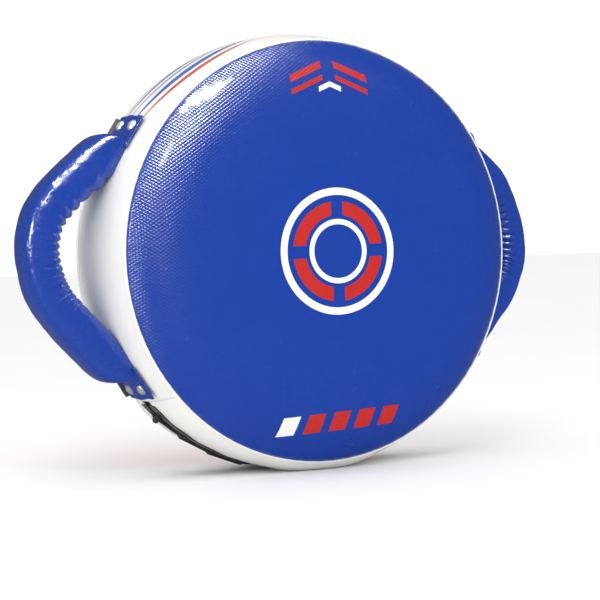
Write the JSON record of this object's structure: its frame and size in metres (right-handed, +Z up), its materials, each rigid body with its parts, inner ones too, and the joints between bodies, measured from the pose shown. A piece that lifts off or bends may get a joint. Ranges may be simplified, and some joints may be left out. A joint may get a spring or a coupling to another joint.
{
  "type": "kick shield",
  "caption": "Round padded kick shield: foam-filled drum with a blue and a red target face, laced white side wall and a padded strap grip on each side.",
  "frame": {"origin": "on the floor under the middle of the shield, which stands on its rim", "axes": "+Z up, -Y the way the blue striking face looks, +X towards one grip"},
  "size_m": [0.6706, 0.232, 0.5055],
  "materials": {
    "blue_cover": "glossy embossed leathercloth",
    "red_cover": "glossy embossed leathercloth",
    "white_wall": "smooth leathercloth",
    "blue_grip": "glossy gathered leathercloth",
    "foam_filling": "soft foam",
    "black_webbing": "woven",
    "black_cord": "woven",
    "nickel": "polished",
    "black_metal": "enamelled"
  },
  "bodies": {
    "shield": {"front_cover": "blue_cover", "back_cover": "red_cover", "front_piping": "white_wall", "back_piping": "white_wall", "side_wall": "white_wall", "front_laced_strip": "white_wall", "back_laced_strip": "white_wall", "front_foam": "foam_filling", "core_foam": "foam_filling", "back_foam": "foam_filling", "closure_tongue": "black_webbing", "front_eyelet_facing": "black_webbing", "back_eyelet_facing": "black_webbing", "front_eyelets": "black_metal", "back_eyelets": "black_metal", "lace": "black_cord", "lace_knots": "black_cord", "right_upper_rivets": "nickel", "right_upper_washers": "nickel", "right_upper_patch": "black_webbing", "right_upper_strap_end": "black_webbing", "right_upper_grip_end": "blue_grip", "right_upper_end_foam": "foam_filling", "right_upper_end_binding": "black_webbing", "right_lower_rivets": "nickel", "right_lower_washers": "nickel", "right_lower_patch": "black_webbing", "right_lower_strap_end": "black_webbing", "right_lower_grip_end": "blue_grip", "right_lower_end_foam": "foam_filling", "right_lower_end_binding": "black_webbing", "left_upper_rivets": "nickel", "left_upper_washers": "nickel", "left_upper_patch": "black_webbing", "left_upper_strap_end": "black_webbing", "left_upper_grip_end": "blue_grip", "left_upper_end_foam": "foam_filling", "left_upper_end_binding": "black_webbing", "left_lower_rivets": "nickel", "left_lower_washers": "nickel", "left_lower_patch": "black_webbing", "left_lower_strap_end": "black_webbing", "left_lower_grip_end": "blue_grip", "left_lower_end_foam": "foam_filling", "left_lower_end_binding": "black_webbing"},
    "right_grip": {"right_grip_strap": "black_webbing", "right_grip_foam": "foam_filling", "right_grip_cover": "blue_grip", "right_grip_binding": "black_webbing"},
    "left_grip": {"left_grip_strap": "black_webbing", "left_grip_foam": "foam_filling", "left_grip_cover": "blue_grip", "left_grip_binding": "black_webbing"}
  },
  "joints": [
    {"name": "right_grip_swing", "type": "hinge", "parent": "shield", "child": "right_grip", "pos_m": [0.236, -0.005, 0.2515], "axis": [0, 0, 1], "range_deg": [-47, 3], "stiffness_Nm_per_rad": 3},
    {"name": "left_grip_swing", "type": "hinge", "parent": "shield", "child": "left_grip", "pos_m": [-0.236, -0.005, 0.2515], "axis": [0, 0, 1], "range_deg": [-25, 25], "stiffness_Nm_per_rad": 3}
  ]
}
